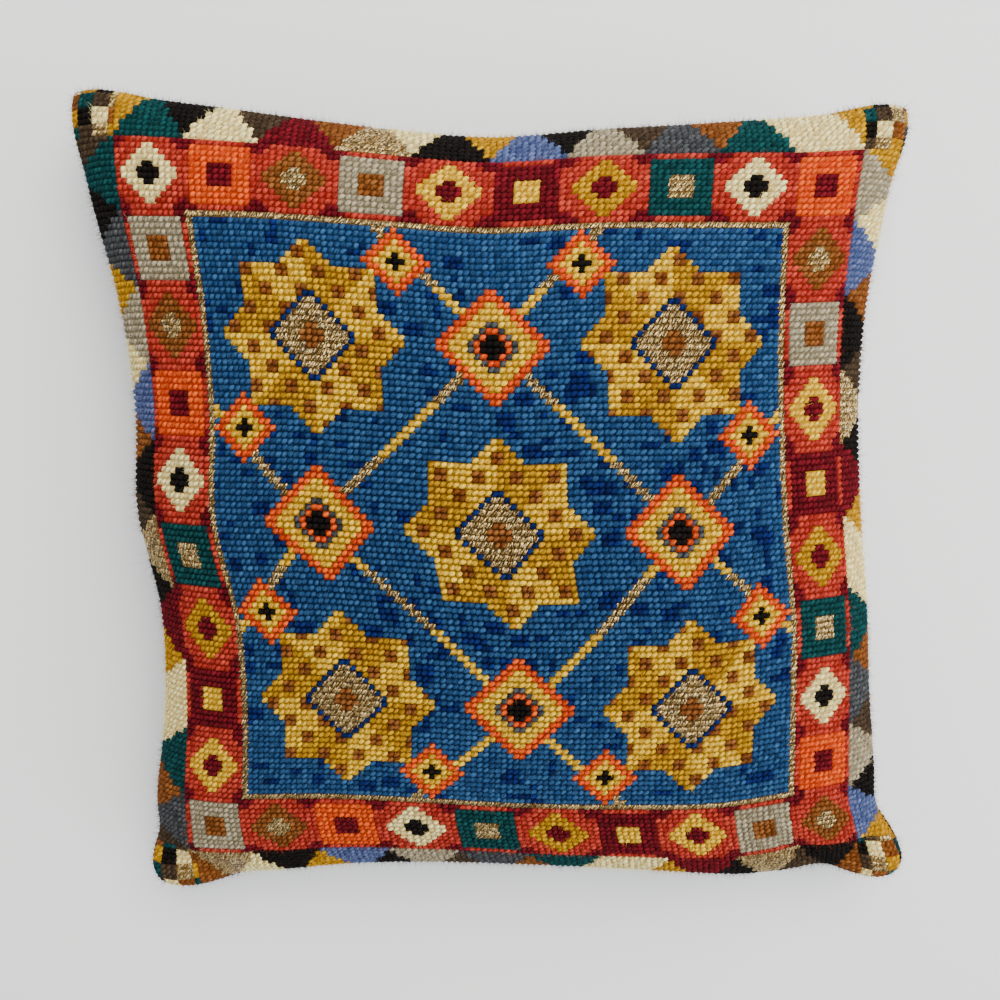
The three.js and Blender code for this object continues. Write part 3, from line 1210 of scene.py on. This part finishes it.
@dataclass
class LooseFibres:
    """Wool hairs that stand off the stitches, each a thin stalk drawn out to a tip on a bent path.

    They are most and longest towards the seam, where nothing rubs them down.
    """

    face: StitchedFace
    name: str
    hairs: int
    length: float
    # Real fibres are about a quarter as thick. They are drawn thick enough to show.
    radius: float
    stations: tuple[float, ...]
    spread: float = 0.7
    bend: float = 0.45
    droop: float = 0.35
    taper: float = 0.6
    sides: int = 3
    length_middle: float = -0.1
    length_spread: float = 0.4
    edge_rows: float = 7.0
    edge_share: float = 4.0
    worn_length: float = 0.65
    root_height: float = 0.8
    root_scatter: float = 0.9
    map_margin: float = 0.2
    map_rows: tuple[float, ...] = (0.25, 0.75, 0.5)

    def stalks(self, row: Array, column: Array, random: np.random.Generator) -> Array:
        """Grows the hairs: a straight start, a sideways bend, rings of points along the path and a tip.

        Args:
            row: Row of each hair's stitch.
            column: Column of each hair's stitch.
            random: Source of the differences.

        Returns:
            Points of each hair, its tip last.
        """
        normal = self.face.normal[row, column]
        sideways = unit(np.cross(normal, random.normal(0, 1, (self.hairs, 3))))
        start = unit(normal + sideways * random.uniform(0, 2 * self.spread, (self.hairs, 1)))
        bend = unit(random.normal(0, 1, (self.hairs, 3)) - normal * self.droop)
        length = self.length * random.lognormal(self.length_middle, self.length_spread, (self.hairs, 1))
        unworn = self.face.chart.nearness(self.edge_rows)[row, column][:, None]
        length *= self.worn_length + (1 - self.worn_length) * unworn
        root = self.face.middle[row, column]
        root += normal * (self.root_height * self.face.relief()[row, column])[:, None]
        root += sideways * random.uniform(0, self.root_scatter, (self.hairs, 1))
        path = [root + length * (start * s + bend * self.bend * s * s) for s in (*self.stations, 1.0)]
        first = unit(np.cross(start, bend))
        second = unit(np.cross(start, first))
        turn = np.arange(self.sides) * math.tau / self.sides
        circle = first[:, None] * np.cos(turn)[:, None] + second[:, None] * np.sin(turn)[:, None]
        rings = [
            centre[:, None] + circle * self.radius * (1 - self.taper * place)
            for place, centre in zip(self.stations, path)
        ]
        return np.concatenate([*rings, path[-1][:, None]], axis=1)

    def faces(self) -> tuple[Array, list[int]]:
        """Closes a stalk: a foot, quads between its rings and triangles up to its tip.

        Returns:
            Corner points of its faces, and the number of corners of each.
        """
        around = np.arange(self.sides)
        after = (around + 1) % self.sides
        last = (len(self.stations) - 1) * self.sides
        tips = np.stack([last + around, last + after, np.full(self.sides, last + self.sides)], -1)
        parts = [around[::-1], tips.ravel()]
        counts = [3] * (1 + self.sides)
        for here in range(0, last, self.sides):
            there = here + self.sides
            quads = [here + around, here + after, there + after, there + around]
            parts.append(np.stack(quads, -1).ravel())
            counts += [4] * self.sides
        return np.concatenate(parts), counts

    def build(self) -> Piece:
        """Grows the hairs from random wool stitches, in the colours of their yarns.

        Returns:
            The piece.
        """
        random = np.random.default_rng(SEED + self.hairs)
        chart = self.face.chart
        share = 1 + self.edge_share * chart.nearness(self.edge_rows)
        weight = np.where(chart.yarns == Yarn.GOLD.number, 0, share).ravel()
        chosen = random.choice(weight.size, self.hairs, p=weight / weight.sum())
        row, column = np.divmod(chosen, STITCHES)
        points = self.stalks(row, column, random)
        each = points.shape[1]
        corners, counts = self.faces()
        starts = np.arange(self.hairs)[:, None] * each
        numbers = (starts + corners).ravel()
        piece = mesh_object(self.name, points.reshape(-1, 3), numbers, np.tile(counts, self.hairs))
        dyes = np.array([linear(yarn.value[1]) for yarn in Yarn])
        set_attribute(piece, "dye", "POINT", np.repeat(dyes[chart.yarns[row, column]], each, axis=0))
        cells, cell = map_cells(self.hairs)
        spread = np.linspace(self.map_margin, 1 - self.map_margin, len(corners))
        inside = np.stack([spread, np.resize(self.map_rows, len(corners))], -1)
        set_map(piece, BAKE_MAP, (cell[:, None] + inside[None]) / cells)
        piece.data.materials.append(LOOSE_WOOL.material())
        return piece


@dataclass(frozen=True)
class SoftLight:
    """A square soft light that faces the cushion: its place and side in metres, its power in watts."""

    name: str
    place: tuple[float, float, float]
    side: float
    power: float
    colour: tuple[float, float, float]

    def build(self) -> None:
        """Adds the light."""
        lamp = bpy.data.lights.new(self.name, "AREA")
        lamp.size = self.side
        lamp.energy = self.power
        lamp.color = self.colour
        light = bpy.data.objects.new(self.name, lamp)
        light.location = self.place
        light.rotation_euler = (-light.location).to_track_quat("-Z", "Y").to_euler()
        bpy.context.scene.collection.objects.link(light)


@dataclass
class Studio:
    """Pale surface, soft light and the camera above the cushion, tipped a little towards its near side."""

    lights: tuple[SoftLight, ...] = (
        SoftLight("overhead_softbox", (0.35, 0.7, 1.45), 1.5, 56.0, (1.0, 0.97, 0.93)),
        SoftLight("side_fill", (1.5, -0.5, 0.9), 1.2, 19.0, (0.9, 0.95, 1.0)),
    )
    surround: tuple[float, float, float, float] = (0.92, 0.95, 1.0, 1.0)
    surround_strength: float = 0.6
    camera_place: tuple[float, float, float] = (-4.6, 65.0, 541.0)
    camera_tilt: float = 7.14
    focal_pixels: float = 1150.0
    image_pixels: float = 1000.0
    sensor: float = 36.0
    floor_half: float = 4000.0
    floor_gap: float = 0.2

    def build(self) -> None:
        """Sets up the surface, the lights and the camera."""
        self.add_floor()
        for light in self.lights:
            light.build()
        self.add_world()
        self.add_camera()

    def add_floor(self) -> None:
        """Adds the pale surface just under the cushion."""
        half = self.floor_half
        corners = [(-half, -half), (half, -half), (half, half), (-half, half)]
        mesh = bpy.data.meshes.new("pale_surface")
        mesh.from_pydata([(x * MM, y * MM, -self.floor_gap * MM) for x, y in corners], [], [(0, 1, 2, 3)])
        floor = bpy.data.objects.new("pale_surface", mesh)
        floor.data.materials.append(PALE_CARD.material())
        bpy.context.scene.collection.objects.link(floor)

    def add_world(self) -> None:
        """Adds an even pale surround."""
        world = bpy.data.worlds.new("studio")
        world.use_nodes = True
        ground = world.node_tree.nodes["Background"]
        ground.inputs["Color"].default_value = self.surround
        ground.inputs["Strength"].default_value = self.surround_strength
        bpy.context.scene.world = world

    def add_camera(self) -> None:
        """Adds the camera."""
        data = bpy.data.cameras.new("camera")
        data.sensor_width = self.sensor
        data.lens = self.sensor * self.focal_pixels / self.image_pixels
        camera = bpy.data.objects.new("camera", data)
        camera.location = [w * MM for w in self.camera_place]
        camera.rotation_euler = (-math.radians(self.camera_tilt), 0.0, 0.0)
        bpy.context.scene.collection.objects.link(camera)
        bpy.context.scene.camera = camera


def main() -> None:
    """Builds the cushion and the studio."""
    logging.basicConfig(level=logging.INFO, format="%(message)s")
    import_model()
    share = np.linspace(-1, 1, STITCHES + 1)
    u, v = np.meshgrid(share, share)
    front, back = ClothSettling(CushionShape()).faces(u, v)
    chart = NeedlepointChart()
    face = StitchedFace(front, chart)
    pieces = [FilledCushion(front, back, chart).build(), *face.build()]
    bloom = LooseFibres(
        face, "wool_bloom", hairs=49000, length=2.3, radius=0.055, stations=(0.0,), spread=0.4, bend=0.3
    )
    hairs = LooseFibres(face, "loose_hairs", hairs=1400, length=4.0, radius=0.045, stations=(0.0, 0.5))
    pieces += [fibres.build() for fibres in (bloom, hairs)]
    for piece in pieces:
        log.info("%s: %d faces", piece.name, len(piece.data.polygons))
    Studio().build()


if __name__ == "__main__":
    main()
